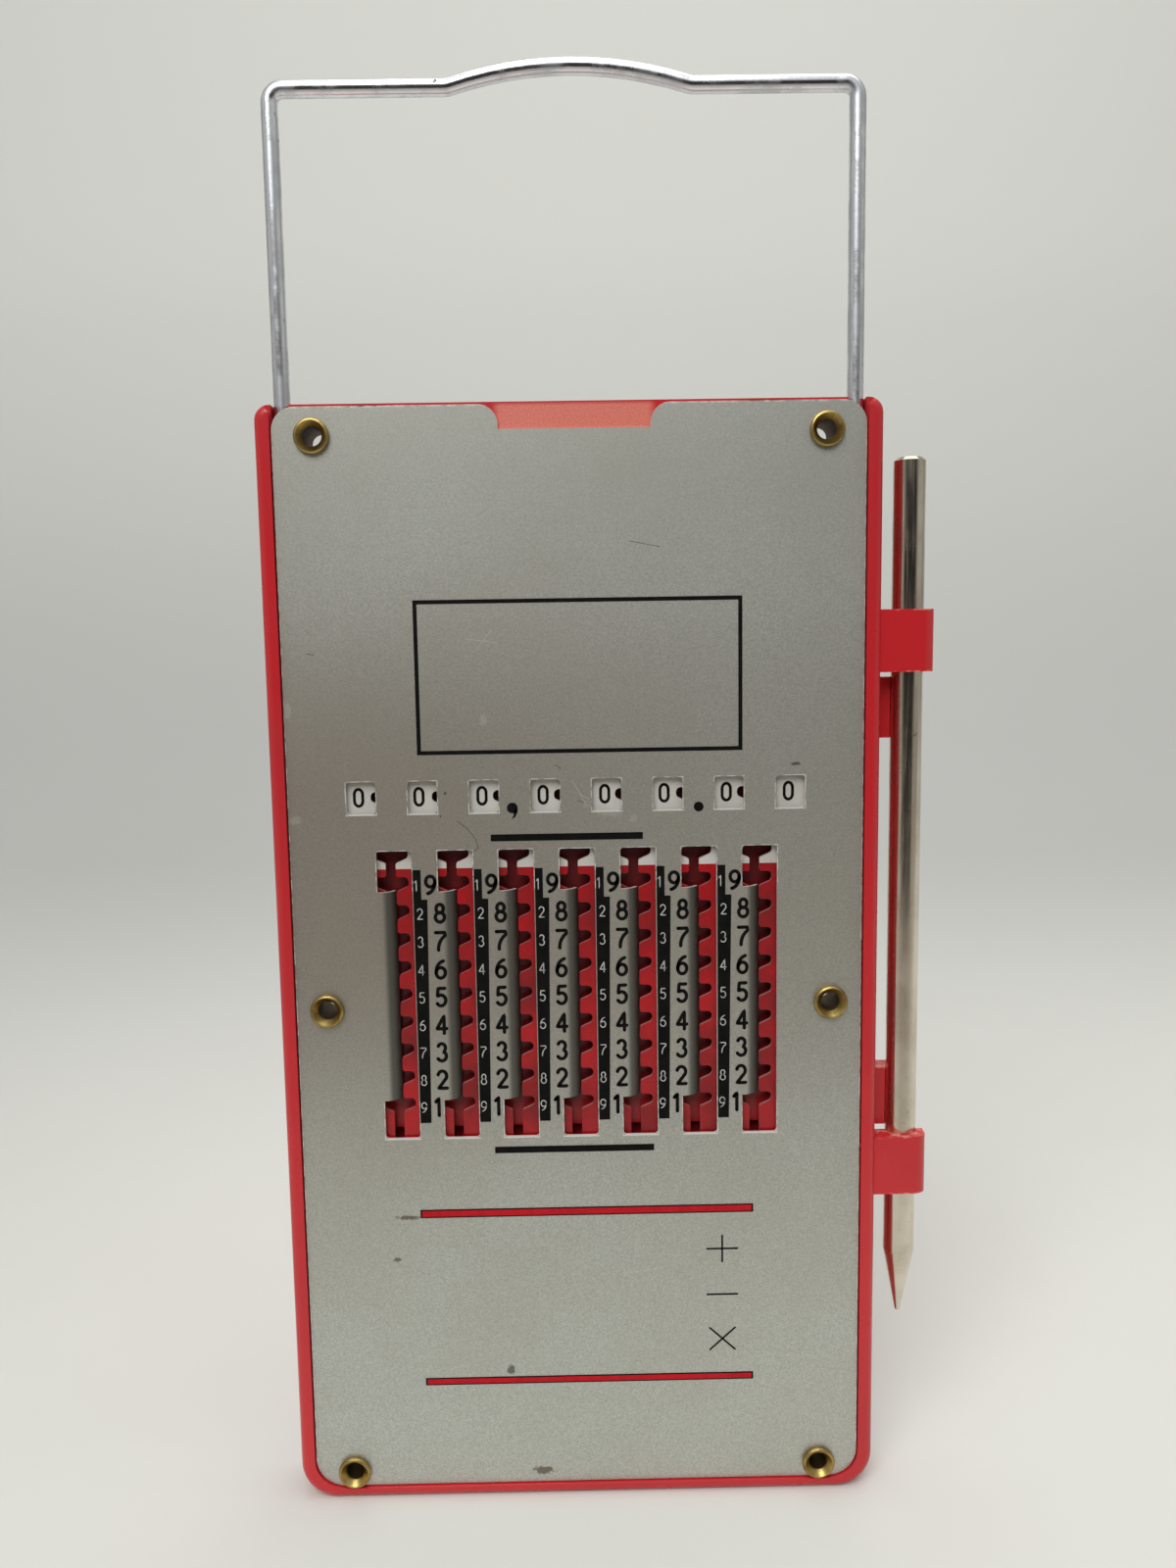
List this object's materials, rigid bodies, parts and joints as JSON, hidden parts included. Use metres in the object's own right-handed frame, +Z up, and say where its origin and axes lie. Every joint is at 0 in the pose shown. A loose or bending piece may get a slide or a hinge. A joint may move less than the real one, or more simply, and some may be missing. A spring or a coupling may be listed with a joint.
{
  "type": "slide adder",
  "caption": "Pocket slide adder: red moulded case, silver front plate with windows and toothed slots, wire reset bail and a clipped metal stylus.",
  "frame": {"origin": "middle of the case's flat bottom edge, halfway through its depth", "axes": "+X to the right seen from the front, +Z up along the length towards the reset bail, -Y out of the front plate"},
  "size_m": [0.0763, 0.0071, 0.1669],
  "materials": {
    "case_plastic": "semi-gloss",
    "plate_metal": "satin lacquer",
    "slide_paint": "semi-gloss",
    "zinc_wire": "zinc plated, worn",
    "brass": "tarnished",
    "stylus_metal": "nickel plated"
  },
  "bodies": {
    "housing": {"case": "case_plastic", "front_plate": "plate_metal", "eyelet_top_left": "brass", "eyelet_top_right": "brass", "eyelet_side_left": "brass", "eyelet_side_right": "brass", "eyelet_bottom_left": "brass", "eyelet_bottom_right": "brass"},
    "slide_1": {"slide_1": "slide_paint"},
    "slide_2": {"slide_2": "slide_paint"},
    "slide_3": {"slide_3": "slide_paint"},
    "slide_4": {"slide_4": "slide_paint"},
    "slide_5": {"slide_5": "slide_paint"},
    "slide_6": {"slide_6": "slide_paint"},
    "slide_7": {"slide_7": "slide_paint"},
    "slide_8": {"slide_8": "slide_paint"},
    "reset": {"reset_bail": "zinc_wire", "reset_bar": "zinc_wire"},
    "stylus": {"stylus": "stylus_metal"}
  },
  "joints": [
    {"name": "slide_1_travel", "type": "slide", "parent": "housing", "child": "slide_1", "axis": [0, 0, -1], "range_m": [0, 0.02999]},
    {"name": "slide_2_travel", "type": "slide", "parent": "housing", "child": "slide_2", "axis": [0, 0, -1], "range_m": [0, 0.02999]},
    {"name": "slide_3_travel", "type": "slide", "parent": "housing", "child": "slide_3", "axis": [0, 0, -1], "range_m": [0, 0.02999]},
    {"name": "slide_4_travel", "type": "slide", "parent": "housing", "child": "slide_4", "axis": [0, 0, -1], "range_m": [0, 0.02999]},
    {"name": "slide_5_travel", "type": "slide", "parent": "housing", "child": "slide_5", "axis": [0, 0, -1], "range_m": [0, 0.02999]},
    {"name": "slide_6_travel", "type": "slide", "parent": "housing", "child": "slide_6", "axis": [0, 0, -1], "range_m": [0, 0.02999]},
    {"name": "slide_7_travel", "type": "slide", "parent": "housing", "child": "slide_7", "axis": [0, 0, -1], "range_m": [0, 0.02999]},
    {"name": "slide_8_travel", "type": "slide", "parent": "housing", "child": "slide_8", "axis": [0, 0, -1], "range_m": [0, 0.02999]},
    {"name": "reset_pull", "type": "slide", "parent": "housing", "child": "reset", "axis": [0, 0, -1], "range_m": [0, 0.0324]},
    {"name": "stylus_draw", "type": "slide", "parent": "housing", "child": "stylus", "axis": [0, 0, 1], "range_m": [0, 0.088]}
  ]
}
